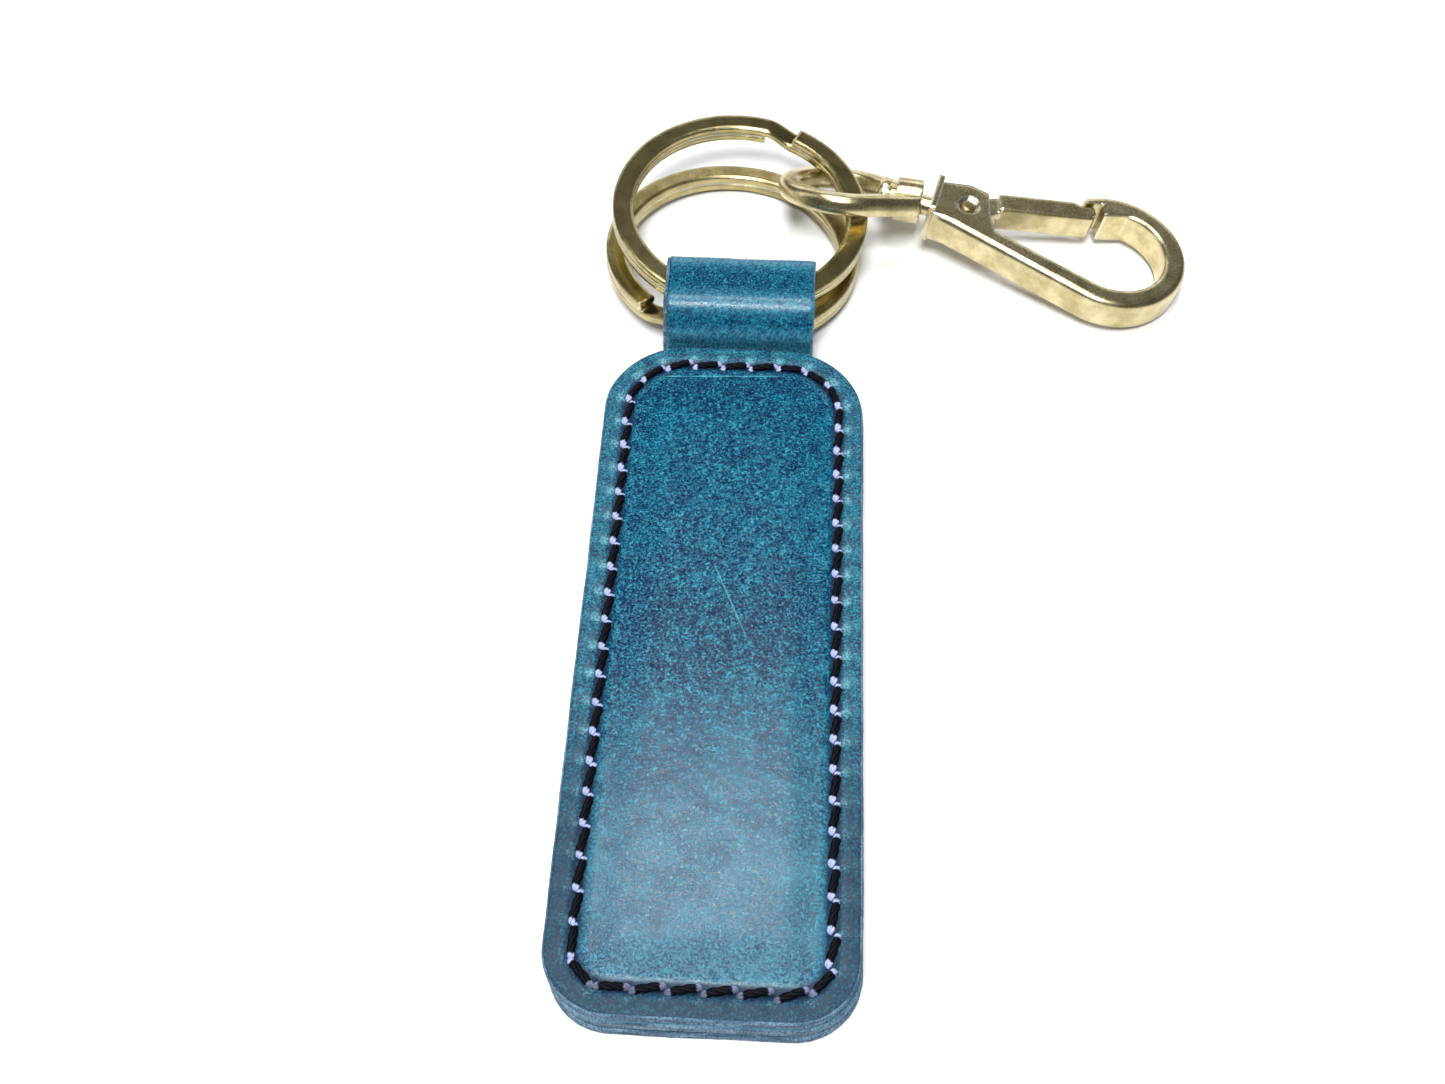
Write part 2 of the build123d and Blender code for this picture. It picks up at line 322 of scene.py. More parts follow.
# %% Wobble and smooth steps
def wavy(count, waves, size, seed):
    """A gentle closed wobble round the outline, in millimetres."""
    made = np.random.default_rng(seed)
    turn = np.linspace(0, 2 * math.pi, count, endpoint=False)
    total = np.zeros(count)
    for wave in waves:
        total += made.uniform(0.4, 1.0) * np.cos(wave * turn + made.uniform(0, 6.28))
    return total * size / len(waves)


def smooth(x, low_x, high_x):
    """0 below low_x, 1 above high_x, with a soft start and end."""
    t = np.clip((x - low_x) / (high_x - low_x), 0, 1)
    return t * t * (3 - 2 * t)


# %% The relief of a sewn face
CHANNEL_DEPTH, CHANNEL_REACH = 0.20, 0.62
PRICK_DEPTH, PRICK_REACH = 0.20, 0.5
SWELL_RISE, SWELL_AT, SWELL_REACH = 0.05, 1.35, 0.7
PULL_DEPTH, PULL_AT, PULL_REACH = 0.06, 1.7, 1.0
CROWN_RISE, SHOULDER_RISE = 0.34, 0.05


def hump(distance, reach):
    return np.exp(-((distance / reach) ** 2))


def sewn_height(inset, phase, crowned):
    """How far the leather's face lies above or below flat, for an inset from its edge.

    phase counts stitches along the sewing line: a whole number is a needle hole.
    """
    hole = 0.5 + 0.5 * np.cos(2 * math.pi * phase)
    channel = -CHANNEL_DEPTH * hump(inset - STITCH_INSET, CHANNEL_REACH)
    prick = -PRICK_DEPTH * hole ** 6 * hump(inset - STITCH_INSET, PRICK_REACH)
    swell = SWELL_RISE * (1 - hole) * hump(inset - SWELL_AT, SWELL_REACH)
    pull = -PULL_DEPTH * hole ** 3 * hump(inset - PULL_AT, PULL_REACH)
    crown = CROWN_RISE * smooth(inset, 3.2, 8.5) + SHOULDER_RISE * smooth(inset, 3.1, 4.4)
    if crowned:
        return channel + prick + swell + pull + crown
    return np.minimum(channel + prick, 0)


print("needle hole", CHANNEL_DEPTH + PRICK_DEPTH, "mm deep, crown", CROWN_RISE + SHOULDER_RISE, "mm")


# %% A skin from loops of points
WELD = 2e-7
NO_LENGTH = 1e-8


def grid_mesh(name, loops, stored):
    """A closed skin from equal loops of points; stored holds one value per point for each name."""
    count = len(loops[0])
    points = np.concatenate(loops)
    faces = []
    for k in range(len(loops) - 1):
        for i in range(count):
            j = (i + 1) % count
            faces.append((k * count + i, k * count + j, (k + 1) * count + j, (k + 1) * count + i))
    mesh = bpy.data.meshes.new(name)
    mesh.from_pydata((points * MM).tolist(), [], faces)
    for title, values in stored.items():
        values = np.concatenate(values).astype(np.float32)
        kind, field = ("FLOAT_VECTOR", "vector") if values.ndim == 2 else ("FLOAT", "value")
        layer = mesh.attributes.new(title, kind, "POINT")
        layer.data.foreach_set(field, values.ravel())
    work = bmesh.new()
    work.from_mesh(mesh)
    bmesh.ops.remove_doubles(work, verts=work.verts, dist=WELD)
    bmesh.ops.dissolve_degenerate(work, edges=work.edges, dist=NO_LENGTH)
    bmesh.ops.recalc_face_normals(work, faces=work.faces)
    work.to_mesh(mesh)
    work.free()
    mesh.shade_smooth()
    made = bpy.data.objects.new(name, mesh)
    bpy.context.scene.collection.objects.link(made)
    return made


# %% Build one layer
TURN_IN = 0.34
TURN_STEPS = 4
EDGE_TUCK = 0.03
STRAIGHT_IN = 6.0
DEEPEST = 14.9
SPINE_HALF = 25
COARSE_INSETS = [STRAIGHT_IN, 7.5, 9.5, 12.0, DEEPEST]
FINE_INSETS = list(np.arange(TURN_IN + 0.12, 4.9, 0.135))
FINE_INSETS += [5.2, 5.6, 6.0, 6.5, 7.0, 7.6, 8.4, 9.4, 10.6, 12.0, 13.4, DEEPEST]


def leather_layer(name, bottom, top, face_up, shift, seed):
    """One leather layer. face_up is 1 for the front, -1 for the back, 0 for a plain one inside.

    Loops run from the middle of the top face outwards, down the cut edge and in again below. Past
    STRAIGHT_IN they close on a spine along the middle instead of following the outline.
    """
    rim = edge_points + edge_normals * wavy(ROUND_POINTS, (3, 5, 8, 13, 21), 0.10, seed)[:, None]
    rim = rim + np.array(shift)
    frizz = wavy(ROUND_POINTS, (60, 97, 141, 190), 0.03, seed + 1)[:, None] * edge_normals
    middle = np.stack([np.zeros(ROUND_POINTS), np.clip(rim[:, 1], -SPINE_HALF, SPINE_HALF)], 1)
    loops, marks, cuts = [], [], []

    def lay(inset, level, cut, profile):
        flat = rim + frizz * cut - edge_normals * min(inset, STRAIGHT_IN)
        share = max(0.0, inset - STRAIGHT_IN) / (DEEPEST - STRAIGHT_IN)
        flat = flat * (1 - share) + middle * share
        z = np.full(ROUND_POINTS, float(level))
        if profile:
            z = z + profile * sewn_height(inset, stitch_count_at, profile > 0)
        loops.append(np.column_stack([flat, z]))
        wave = 2 * math.pi * stitch_count_at
        marks.append(np.column_stack([np.full(ROUND_POINTS, inset), np.cos(wave), np.sin(wave)]))
        cuts.append(np.full(ROUND_POINTS, cut))

    turns = [math.pi / 2 * step / TURN_STEPS for step in range(TURN_STEPS + 1)]
    fades = [min(1.0, step / 2) for step in range(TURN_STEPS + 1)]
    for inset in reversed(FINE_INSETS if face_up == 1 else COARSE_INSETS):
        lay(inset, top, 0.0, max(face_up, 0))
    for turn, fade in zip(turns, fades):
        lay(TURN_IN * (1 - math.sin(turn)), top - TURN_IN * (1 - math.cos(turn)), fade, 0)
    for share in (0.3, 0.5, 0.7):
        lay(EDGE_TUCK, top - TURN_IN - share * (top - bottom - 2 * TURN_IN), 1.0, 0)
    for turn, fade in zip(turns, reversed(fades)):
        lay(TURN_IN * (1 - math.cos(turn)), bottom + TURN_IN * (1 - math.sin(turn)), fade, 0)
    for inset in FINE_INSETS if face_up == -1 else COARSE_INSETS:
        lay(inset, bottom, 0.0, min(face_up, 0))
    return grid_mesh(name, loops, {"sewn": marks, "cut": cuts})


# %% Make the three layers
def heights(node):
    """A node's lowest and highest level, in millimetres."""
    a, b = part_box(node)
    return a.z / MM, b.z / MM


front_low, front_high = heights("front_panel")
fill_low, fill_high = heights("filler_panel")
back_low, back_high = heights("back_panel")
front_leather = leather_layer("front_leather", front_low, front_high, 1, (-0.06, 0.05), 11)
filler_leather = leather_layer("filler_leather", fill_low, fill_high, 0, (0.14, -0.16), 23)
OFF_FLOOR = 0.02
back_leather = leather_layer("back_leather", back_low + OFF_FLOOR, back_high, -1, (0.22, -0.30), 31)
for piece in (front_leather, filler_leather, back_leather):
    print(piece.name, len(piece.data.polygons), "faces")

# %% [markdown]
# ## The strap
# One thin strip folded over both rings, its ends sewn in between the outer layers. The fold is a
# rounded path seen from the side. A flat band follows it, with edges cut square and a little
# uneven, because a shell extruded from a sketch would look like bent sheet metal.


# %% The strap's path
STRAP_THICK = 0.76
STRAP_STEP = 0.25
TAIL = 15
TAIL_GAP = 0.03
LAYER_GAP = 0.05
STRAP_TOP = 8.8
STRAP_UNDER = 0.82
SAME_POINT = 1e-6


def rounded_path(corners, radii, step):
    """Points along a path of straight runs joined by arcs, at most one step apart."""
    points = [np.array(corners[0], float)]
    for k in range(1, len(corners) - 1):
        here = np.array(corners[k], float)
        to_a = np.array(corners[k - 1], float) - here
        to_b = np.array(corners[k + 1], float) - here
        to_a /= np.linalg.norm(to_a)
        to_b /= np.linalg.norm(to_b)
        half = math.acos(np.clip(to_a @ to_b, -1, 1)) / 2
        radius = radii[k - 1]
        start = here + to_a * radius / math.tan(half)
        end = here + to_b * radius / math.tan(half)
        middle = here + (to_a + to_b) / np.linalg.norm(to_a + to_b) * radius / math.sin(half)
        a0 = math.atan2(*(start - middle)[::-1])
        swing = math.atan2(*(end - middle)[::-1]) - a0
        swing = (swing + math.pi) % (2 * math.pi) - math.pi
        pieces = max(3, int(abs(swing) * radius / step) + 1)
        for i in range(pieces + 1):
            turn = a0 + swing * i / pieces
            points.append(middle + radius * np.array([math.cos(turn), math.sin(turn)]))
    points.append(np.array(corners[-1], float))
    full = [points[0]]
    for a, b in zip(points, points[1:]):
        gap = np.linalg.norm(b - a)
        if gap < SAME_POINT:
            continue
        parts = max(1, int(gap / step))
        full += [a + (b - a) * i / parts for i in range(1, parts + 1)]
    return np.array(full)


mouth = half_length
strap_half = (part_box("strap_loop")[1].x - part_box("strap_loop")[0].x) / 2 / MM
upper_leaf = fill_high + LAYER_GAP - TAIL_GAP - STRAP_THICK / 2
lower_leaf = back_high + TAIL_GAP + STRAP_THICK / 2
strap_path = rounded_path(
    [
        (mouth - TAIL, upper_leaf),
        (mouth + 1.2, upper_leaf),
        (mouth + 1.2, 5.6),
        (mouth + 3.6, STRAP_TOP),
        (mouth + 11.65, STRAP_TOP),
        (mouth + 11.65, 2.9),
        (mouth + 10.1, STRAP_UNDER),
        (mouth + 5.0, STRAP_UNDER),
        (mouth + 1.7, lower_leaf),
        (mouth - TAIL, lower_leaf),
    ],
    (0.6, 1.5, 2.2, 2.3, 1.2, 0.9, 2.0, 2.0),
    STRAP_STEP,
)


print("strap", round(len(strap_path) * STRAP_STEP), "mm long before folding")


# %% The strap's band
def strap_section():
    """Round the strap's cross-section once: place across (-1 to 1), side (-1 to 1), and kind."""
    across = list(np.linspace(-1, 1, 49))
    side_levels = (0.55, 0.0, -0.55)
    section = [(x, 1.0, "flat") for x in across]
    section += [(1, side, "edge") for side in side_levels]
    section += [(x, -1.0, "flat") for x in reversed(across)]
    section += [(-1, side, "edge") for side in reversed(side_levels)]
    return section


def curl_of(run):
    """How sharply the path bends at each point, softened and held to 0 to 1."""
    turn = np.unwrap(np.arctan2(run[:, 1], run[:, 0]))
    window = np.hanning(15)
    curl = np.convolve(np.abs(np.gradient(turn)), window / window.sum(), "same")
    return np.clip(curl / 0.09, 0, 1)


def strap_mesh(name):
    """The band along strap_path, with its left upper edge cut on a slant that narrows."""
    count = len(strap_path)
    run = np.gradient(strap_path, axis=0)
    run /= np.linalg.norm(run, axis=1)[:, None]
    outward = np.stack([-run[:, 1], run[:, 0]], 1)
    along = np.arange(count) * STRAP_STEP
    wobble = 0.05 * np.sin(along * 0.9) + 0.04 * np.sin(along * 2.3 + 1)
    section = strap_section()
    curl = curl_of(run)
    loops, cuts, bends = [], [], []
    for k in range(count):
        half = strap_half - 0.04 + wobble[k] * 0.6
        slant = 0.72 - 0.45 * min(1.0, max(0.0, (20 - along[k]) / 6))
        points, cut = [], []
        for x, side, kind in section:
            reach = x * half
            if kind == "edge":
                reach = x * (half + 0.04 * (1 - abs(side)))
                offset = side * STRAP_THICK / 2
            else:
                if x == -1 and side > 0:
                    reach += slant
                lift = STRAP_THICK / 2 - 0.13 * float(smooth(np.array(abs(x)), 0.985, 1.0))
                ripple = 0.03 * math.sin(0.7 * x * half + 0.35 * along[k]) * (1 - abs(x))
                offset = side * lift + ripple
            y, z = strap_path[k] + outward[k] * offset
            points.append((reach, y, z))
            cut.append(1.0 if kind == "edge" else float(abs(x) > 0.999) * 0.9)
        loops.append(np.array(points))
        cuts.append(np.array(cut))
        bends.append(np.full(len(section), curl[k]))
    caps = [np.tile(loop.mean(0), (len(section), 1)) for loop in (loops[0], loops[-1])]
    loops = [caps[0], *loops, caps[1]]
    cuts = [np.ones(len(section)), *cuts, np.ones(len(section))]
    bends = [np.zeros(len(section)), *bends, np.zeros(len(section))]
    return grid_mesh(name, loops, {"cut": cuts, "bend": bends})


strap_leather = strap_mesh("strap_leather_band")
print(strap_leather.name, len(strap_leather.data.polygons), "faces")

# %% [markdown]
# ## Stitches
# A lockstitch shows as a row of short slanted ropes, each of three twisted plies, dipping into a
# hole at both ends. One stitch is modelled and Geometry Nodes lay it along the sewing line, evenly
# spaced, turned to follow the line and slanted by a few degrees.


# %% One stitch
def stitch_mesh(length, width, rise):
    """A short rope of three plies along X that arches up from its holes; shine is 1 at its ends."""
    points, faces, shine = [], [], []
    rounds, stations, plies = 6, 15, 3
    twists, dip = 1.1, 0.30
    ply = width * 0.29
    for strand in range(plies):
        base = len(points)
        for k in range(stations):
            t = k / (stations - 1)
            out = abs(2 * t - 1)
            x = (t - 0.5) * length
            arch = rise * (1 - out ** 3.2) - dip * out ** 8
            narrow = 1 - 0.45 * out ** 6
            twist = 2 * math.pi * (strand / plies + twists * t)
            cy = math.cos(twist) * width * 0.22 * narrow
            cz = math.sin(twist) * width * 0.16 * narrow + arch
            for i in range(rounds):
                a = 2 * math.pi * i / rounds
                points.append((x, cy + ply * narrow * math.cos(a), cz + ply * narrow * math.sin(a)))
                shine.append(out)
        for k in range(stations - 1):
            for i in range(rounds):
                j = (i + 1) % rounds
                a, b = base + k * rounds, base + (k + 1) * rounds
                faces.append((a + i, b + i, b + j, a + j))
        faces.append(tuple(base + i for i in range(rounds)))
        faces.append(tuple(base + (stations - 1) * rounds + i for i in reversed(range(rounds))))
    mesh = bpy.data.meshes.new("one_stitch")
    mesh.from_pydata([tuple(c * MM for c in p) for p in points], [], faces)
    layer = mesh.attributes.new("shine", "FLOAT", "POINT")
    layer.data.foreach_set("value", shine)
    work = bmesh.new()
    work.from_mesh(mesh)
    bmesh.ops.recalc_face_normals(work, faces=work.faces)
    work.to_mesh(mesh)
    work.free()
    mesh.shade_smooth()
    made = bpy.data.objects.new("one_stitch", mesh)
    bpy.context.scene.collection.objects.link(made)
    return made


STITCH_WIDTH = 0.88
STITCH_RISE = 0.20
STITCH_OVERLAP = 0.30
one_stitch = stitch_mesh(sewing_length / STITCHES + STITCH_OVERLAP, STITCH_WIDTH, STITCH_RISE)
print("one stitch", len(one_stitch.data.polygons), "faces")

# %% [markdown]
# A Geometry Nodes tree is wired in the same spirit as a finish: one helper makes a node from its
# type, settings and inputs, names the tree's own inputs, and bakes the result into a plain mesh.


# %% Geometry Nodes helper
class Recipe:
    """A Geometry Nodes tree that starts from its object's own mesh, with named number inputs."""

    def __init__(self, name):
        self.tree = bpy.data.node_groups.new(name, "GeometryNodeTree")
        self.tree.interface.new_socket("Geometry", in_out="INPUT", socket_type="NodeSocketGeometry")
        self.tree.interface.new_socket("Geometry", in_out="OUTPUT", socket_type="NodeSocketGeometry")
        self.names = {}
        self.start = self.tree.nodes.new("NodeGroupInput")
        self.end = self.tree.nodes.new("NodeGroupOutput")

    def number(self, name, kind="NodeSocketFloat"):
        socket = self.tree.interface.new_socket(name, in_out="INPUT", socket_type=kind)
        self.names[name] = socket.identifier
        return self.start.outputs[name]

    def node(self, kind, settings=None, wires=None, out=0):
        made = self.tree.nodes.new(kind)
        for name, value in (settings or {}).items():
            setattr(made, name, value)
        for key, value in (wires or {}).items():
            if isinstance(value, bpy.types.NodeSocket):
                self.tree.links.new(value, made.inputs[key])
            else:
                made.inputs[key].default_value = value
        return made.outputs[out]

    def bake(self, name, mesh, values):
        """Runs the tree on that mesh and returns the result as a plain object."""
        holder = bpy.data.objects.new(name + "_path", mesh)
        bpy.context.scene.collection.objects.link(holder)
        modifier = holder.modifiers.new("recipe", "NODES")
        modifier.node_group = self.tree
        for title, value in values.items():
            modifier[self.names[title]] = value
        bpy.context.view_layer.update()
        view = bpy.context.evaluated_depsgraph_get()
        done = bpy.data.meshes.new_from_object(holder.evaluated_get(view))
        done.name = name
        holder.modifiers.clear()
        bpy.data.objects.remove(holder)
        made = bpy.data.objects.new(name, done)
        bpy.context.scene.collection.objects.link(made)
        return made


# %% [markdown]
# ## Leather finish
# Waxed pull-up leather: deep blue in the hollows and teal where wax has been pushed away, with a
# tight speckle of pores. The rim beside each stitch is rubbed pale, the stitch channel under the
# thread is painted nearly black as shade, and the cut edge shows pale, dusty fibres. Light is also
# painted in: a pale sheen towards the foot, shade in a crease on the rim and on the rim along the
# foot, and highlights on the puckers between holes.


# %% A scratch
def scratch(x, y, start, end):
    """A thin straight mark from start to end, in millimetres: 1 on it and 0 beside it."""
    length = math.dist(start, end)
    ux, uy = (end[0] - start[0]) / length, (end[1] - start[1]) / length
    along = (x - start[0]) * ux + (y - start[1]) * uy
    across = ((y - start[1]) * ux - (x - start[0]) * uy).size()
    return (1 - across.ramp(0.02, 0.13)) * along.ramp(0.0, 1.5) * (1 - along.ramp(length - 3, length))


# %% Leather colours
DEEP_BLUE = (0.0, 0.012, 0.055)
TEAL = (0.0, 0.160, 0.250)
RUBBED_TEAL = (0.022, 0.260, 0.350)
# painted sheen: a paler teal laid on towards the foot
SHEEN_TEAL = (0.075, 0.215, 0.295)
# partly stretched pull-up leather, partly a painted highlight on the strap's folds
STRETCH_AND_HIGHLIGHT_PALE = (0.085, 0.30, 0.42)
WEAVE_DARK = (0.004, 0.11, 0.19)
RIM_RUB = (0.035, 0.27, 0.35)
INNER_RUB = (0.03, 0.22, 0.31)
# painted shade for the thin crease beside the stitch holes
CREASE_SHADE = (0.006, 0.04, 0.08)
# painted highlight on the puckers beside each hole
PUCKER_HIGHLIGHT = (0.16, 0.42, 0.50)
SCRATCH_PALE = (0.10, 0.42, 0.50)
# painted shade in the recessed stitch channel
CHANNEL_SHADE = (0.003, 0.010, 0.035)
# painted shade on the rim along the foot
FOOT_RIM_SHADE = (0.001, 0.018, 0.045)
RAW_DARK = (0.012, 0.045, 0.095)
RAW_PALE = (0.26, 0.44, 0.58)
LONG_SCRATCH = ((-8.9, 35.3), (6.4, 36.1))
SHORT_SCRATCH = ((-1.4, 9.7), (3.1, -0.8))
FOOT_FROM, FOOT_TO = 2.0, 28.0
print("leather runs from", DEEP_BLUE, "to", TEAL)


# %% What sewing and folding do
def band(inset, middle, near, far):
    """1 along a line at that inset, fading out between near and far on both sides."""
    return 1 - (inset - middle).size().ramp(near, far)


def sewing_marks(f, x, y, z, foot, speck, mottle, inset, at_hole, colour):
    """What needle, thread and fingers did to a sewn face, with painted shade and highlights: returns its
    colour and added roughness.
    """
    # the stitch channel, painted dark as shade
    line = band(inset, STITCH_INSET, 0.35, 0.95)
    # painted shade: a thin wavy crease on the rim, nearest the edge at each hole
    crease_shade = 1 - (inset - 1.55 + at_hole * 0.55).size().ramp(0.05, 0.34)
    rub = band(inset, 1.2, 0.3, 1.3) * (0.35 + 0.65 * at_hole) * (1 - foot * 0.7)
    # painted highlight on the raised puckers at the holes
    pucker_highlight = band(inset, 1.9, 0.2, 0.9) * at_hole ** 5 * (1 - foot * 0.6)
    marks = scratch(x, y, *LONG_SCRATCH).most(scratch(x, y, *SHORT_SCRATCH) * 0.6)
    marks = marks * z.ramp(front_low, front_low + 0.5)
    inner = band(inset, 3.95, 0.1, 0.7) * (1 - at_hole)
    rim = 1 - inset.ramp(1.4, 3.2)
    for share, shade in (
        ((rub * (speck * 0.75 + mottle * 0.25)).held(), RIM_RUB),
        ((inner * speck * 0.7).held(), INNER_RUB),
        # painted shade in the crease
        (crease_shade * 0.45, CREASE_SHADE),
        # painted highlight on the puckers
        ((pucker_highlight * (0.2 + speck * 0.9)).held(), PUCKER_HIGHLIGHT),
        ((marks * (0.35 + mottle * 0.5)).held(), SCRATCH_PALE),
        # painted shade in the stitch channel
        (line * 0.85, CHANNEL_SHADE),
        # painted shade on the rim along the foot
        (rim * foot * (0.90 - speck * 0.45), FOOT_RIM_SHADE),
    ):
        colour = f.mix(share, colour, shade)
    return colour, rim * 0.22 + line * 0.35


def fold_marks(f, here, colour):
    """The strap's folds, paler partly from stretched pull-up leather and partly as a painted highlight,
    with their slanting fibre weave.
    """
    turned = f.node("VectorRotate", {"rotation_type": "Z_AXIS"}, {"Vector": here, "Angle": 0.75})
    weave = f.noise(f.stretched(turned, (5.0, 1.3, 1.3)), 1.0, 2.0, 0.6).ramp(0.45, 0.62)
    # The pale at each bend is partly stretched pull-up leather and partly a painted highlight.
    colour = f.mix((f.stored("bend") * (0.25 + weave * 0.55)).held(), colour, STRETCH_AND_HIGHLIGHT_PALE)
    return f.mix(weave * 0.30, colour, WEAVE_DARK)


# %% Leather
def leather(name, sewn, rubbed=0.0):
    f = Finish(name)
    here = f.place()
    x, y, z = f.parts(here)
    drift = f.noise(here, 0.055, 3.0, 0.55).ramp(0.32, 0.68)
    cloud = f.noise(here, 0.22, 4.0, 0.6).ramp(0.3, 0.72)
    mottle = f.noise(here, 0.9, 4.0, 0.65).ramp(0.3, 0.7)
    speck = f.noise(here, 3.8, 3.0, 0.8).ramp(0.44, 0.62)
    pore = f.cells(here, 2.6).ramp(0.0, 0.35)
    bright = f.noise(here, 3.4, 1.0, 0.5).ramp(0.56, 0.68)
    lift = drift * 0.16 + cloud * 0.18 + mottle * 0.14 + speck * (0.50 + mottle * 0.55)
    foot = (0 - y).ramp(FOOT_FROM, FOOT_TO)
    pale = bright * (0.40 + mottle * 0.60) + rubbed * (0.4 + mottle * 0.5)
    # Painted sheen: the face is painted paler towards the foot.
    painted_sheen = foot * (0.14 + cloud * 0.22 + speck * 0.16)
    rough = 0.15 + speck * 0.07 + mottle * 0.04
    if sewn:
        inset, wave, _ = f.parts(f.stored("sewn", out=1))
        # the painted sheen is kept off the sewn rim
        painted_sheen = painted_sheen * inset.ramp(1.8, 4.0)
    colour = f.mix((lift - 0.26).held(), DEEP_BLUE, TEAL)
    colour = f.mix(pale.held(), colour, RUBBED_TEAL)
    colour = f.mix((painted_sheen * 1.35).held(), colour, SHEEN_TEAL)
    if sewn:
        at_hole = wave * 0.5 + 0.5
        colour, dull = sewing_marks(f, x, y, z, foot, speck, mottle, inset, at_hole, colour)
        rough = rough + dull
    else:
        colour = fold_marks(f, here, colour)
    cut = f.stored("cut")
    fibre = f.noise(f.stretched(here, (1.0, 1.0, 0.35)), 5.0, 4.0, 0.8).ramp(0.3, 0.7)
    dusty = f.noise(f.stretched(here, (0.25, 0.25, 1.6)), 1.0, 3.0, 0.6).ramp(0.35, 0.65)
    raw = f.mix((fibre * (0.25 + dusty * 0.75)).held(), RAW_DARK, RAW_PALE)
    colour = f.mix(cut.ramp(0.35, 0.8), colour, raw)
    height = speck * 0.5 + pore * 0.35 + mottle * 0.6 + cut * fibre * 3.0
    rough = (rough + cut * 0.4).held()
    normal = f.bump(height, 0.26, 0.06)
    print(name, len(f.tree.nodes), "nodes")
    return f.surface(Base_Color=colour, Roughness=rough, Normal=normal, Specular_IOR_Level=0.28)


panel_finish = leather("panel_leather_finish", True)
core_finish = leather("core_leather_finish", False, 0.4)
strap_finish = leather("strap_leather_finish", False)
dress(front_leather, panel_finish)
dress(filler_leather, core_finish)
dress(back_leather, panel_finish)
dress(strap_leather, strap_finish)


# %% [markdown]
# ## Thread finish
# The thread is black with wax on the crown of a stitch. Where it dives into its hole a pale lilac
# glint is painted on, dimmer along the foot row. The stitch mesh carries a value, shine, that is 0
# in the middle and 1 at the ends, and noise roughens the border.


# %% Waxed thread
WAXED_BLACK = (0.0008, 0.0008, 0.004)
# painted glint colour for the stitch ends
GLINT_LILAC = (0.48, 0.54, 0.86)
FOOT_ROW_FROM, FOOT_ROW_TO = -38.0, -35.0


def waxed_thread(name):
    f = Finish(name)
    here = f.place()
    fluff = f.noise(here, 6.0, 3.0, 0.7)
    drift = f.noise(here, 0.11, 1.0)
    # painted glint at the stitch ends, weaker on the foot row
    glint_edge = (f.stored("shine") + fluff * 0.30 + drift * 0.30 - 0.30).ramp(0.64, 0.74)
    glint_strength = 0.25 + f.parts(here)[1].ramp(FOOT_ROW_FROM, FOOT_ROW_TO) * 0.75
    glint_share = (glint_edge * glint_strength * (0.35 + fluff * 1.1)).held()
    colour = f.mix(glint_share, WAXED_BLACK, GLINT_LILAC)
    normal = f.bump(fluff, 0.5, 0.05)
    print(name, len(f.tree.nodes), "nodes")
    return f.surface(Base_Color=colour, Roughness=0.6, Normal=normal, Specular_IOR_Level=0.12)


thread_finish = waxed_thread("sewing_thread_finish")

# %% [markdown]
# ## Laying the stitches
# The sewing line becomes a curve, resampled to one point for each stitch, with a stitch set on
# every point. Turning it along the line needs the curve's tangent. The slant is a small extra turn.
# On the long sides it leans the other way from its sewing line than along the foot.


# %% Lay the stitches
def sewing_recipe():
    r = Recipe("sewing")
    count = r.number("Stitches", "NodeSocketInt")
    slant = r.number("Slant")
    flip = r.number("Turn over")
    line = r.node("GeometryNodeMeshToCurve", None, {0: r.start.outputs["Geometry"]})
    even = r.node("GeometryNodeResampleCurve", {"mode": "COUNT"}, {"Curve": line, "Count": count})
    run = r.node("GeometryNodeInputTangent")
    up = r.node("ShaderNodeCombineXYZ", None, {2: 1.0})
    axes = {"primary_axis": "X", "secondary_axis": "Z"}
    aim = r.node("FunctionNodeAxesToRotation", axes, {0: run, 1: up})
    way = r.node("ShaderNodeSeparateXYZ", None, {0: run})
    across = r.node("ShaderNodeMath", {"operation": "POWER"}, {0: way, 1: 2.0})
    sense = r.node("ShaderNodeMath", {"operation": "MULTIPLY_ADD"}, {0: across, 1: 2.0, 2: -1.0})
    turn = r.node("ShaderNodeMath", {"operation": "MULTIPLY"}, {0: slant, 1: sense})
    lean = r.node("ShaderNodeCombineXYZ", None, {0: flip, 2: turn})
    tilt = r.node("FunctionNodeRotateRotation", {"rotation_space": "LOCAL"}, {0: aim, 1: lean})
    piece = r.node("GeometryNodeObjectInfo", None, {0: one_stitch}, out=4)
    placed = {"Points": even, "Instance": piece, "Rotation": tilt}
    laid = r.node("GeometryNodeInstanceOnPoints", None, placed)
    real = r.node("GeometryNodeRealizeInstances", None, {0: laid})
    done = r.node("GeometryNodeSetMaterial", None, {0: real, "Material": thread_finish})
    r.tree.links.new(done, r.end.inputs[0])
    return r


def sewing_path(level):
    """The sewing line as a closed chain of edges, started half a stitch on."""
    shift = int(round(ROUND_POINTS / STITCHES / 2))
    points = np.roll(sewing_line, -shift, 0)
    mesh = bpy.data.meshes.new("sewing_path")
    corners = [(p[0] * MM, p[1] * MM, level * MM) for p in points]
    mesh.from_pydata(corners, [(i, (i + 1) % len(corners)) for i in range(len(corners))], [])
    return mesh


FRONT_SUNK = 0.14
BACK_LEVEL = 0.62
sewing = sewing_recipe()


def sew(name, level, turn_over):
    values = {"Stitches": STITCHES, "Slant": 0.20, "Turn over": turn_over}
    return sewing.bake(name, sewing_path(level), values)


front_stitches = sew("front_stitches", front_high - FRONT_SUNK, 0.0)
back_stitches = sew("back_stitches", BACK_LEVEL, math.pi)
bpy.data.objects.remove(one_stitch)
print("stitches", len(front_stitches.data.polygons), "faces a side")

# %% [markdown]
# ## Brass finish
# The rings and the hook are plated to look old: clouded between brown and warm gold on the faces,
# and pale along every edge, partly worn plating and partly a painted highlight. The Bevel node
# rounds the shading near an edge, and where that rounded direction leaves the true one, the pale
# edge colour is painted. The hook's cast parts are paler than the rings, and the pin and the hidden
# spring are darker and duller.


# %% Brass
SOFT_EDGE = 0.6


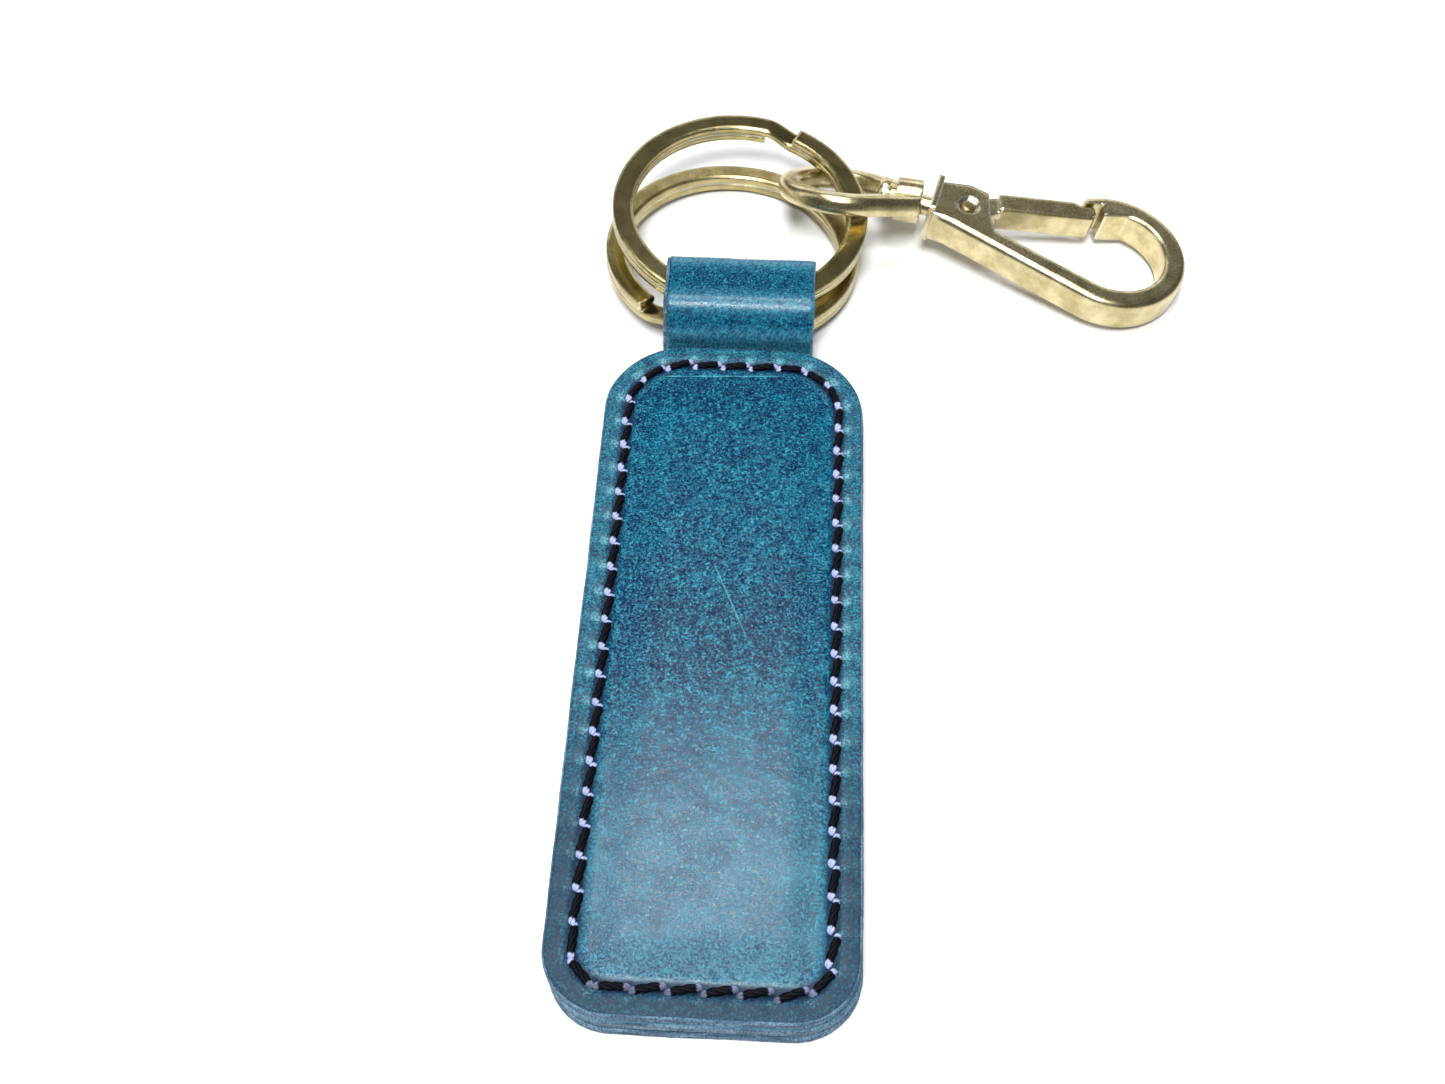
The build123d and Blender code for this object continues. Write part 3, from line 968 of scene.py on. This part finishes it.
def old_brass(name, face, shade, worn_and_highlight, roughness):
    f = Finish(name)
    here = f.place()
    cloud = f.noise(here, 0.35, 3.0, 0.6).ramp(0.3, 0.7)
    brush = f.noise(here, 4.0, 3.0, 0.7)
    soft = f.node("Bevel", {"samples": 6}, {"Radius": SOFT_EDGE * MM})
    true = f.node("NewGeometry", out=1)
    facing = f.node("VectorMath", {"operation": "DOT_PRODUCT"}, {0: soft, 1: true}, out=1)
    edge = (1 - facing).ramp(0.01, 0.12)
    colour = f.mix((cloud * 0.5 + brush * 0.4).held(), shade, face)
    # The pale edge colour is partly worn plating and partly a painted highlight.
    colour = f.mix((edge * (0.5 + brush * 0.6)).held(), colour, worn_and_highlight)
    rough = roughness + brush * 0.10 - edge * 0.08
    normal = f.bump(brush, 0.15, 0.04, under=soft)
    print(name, len(f.tree.nodes), "nodes")
    return f.surface(Base_Color=colour, Metallic=1.0, Roughness=rough, Normal=normal)


ring_finish = old_brass(
    "ring_brass_finish",
    face=(0.60, 0.51, 0.24),
    shade=(0.23, 0.185, 0.07),
    worn_and_highlight=(1.0, 0.96, 0.72),
    roughness=0.17,
)
cast_finish = old_brass(
    "cast_brass_finish",
    face=(0.86, 0.77, 0.48),
    shade=(0.36, 0.29, 0.125),
    worn_and_highlight=(1.0, 0.97, 0.80),
    roughness=0.21,
)
pin_finish = old_brass(
    "pin_steel_finish",
    face=(0.42, 0.34, 0.15),
    shade=(0.12, 0.095, 0.04),
    worn_and_highlight=(0.85, 0.78, 0.50),
    roughness=0.30,
)
for name in ("split_ring_upper", "split_ring_lower"):
    dress(nodes[name], ring_finish)
for name in ("swivel_eye", "hook_body", "swivel_stud", "gate"):
    dress(nodes[name], cast_finish)
for name in ("gate_pin", "gate_spring"):
    dress(nodes[name], pin_finish)

# %% [markdown]
# ## Hand every piece to the frame
# Leather and thread ride on the fob, and stand for its plain solids.

# %% Ride and replace
for piece, node, slot in (
    (front_leather, "front_panel", "panel_leather"),
    (filler_leather, "filler_panel", "core_leather"),
    (back_leather, "back_panel", "panel_leather"),
    (strap_leather, "strap_loop", "strap_leather"),
    (front_stitches, "needle_thread", "sewing_thread"),
    (back_stitches, "bobbin_thread", "sewing_thread"),
):
    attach(piece, "fob")
    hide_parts(node)
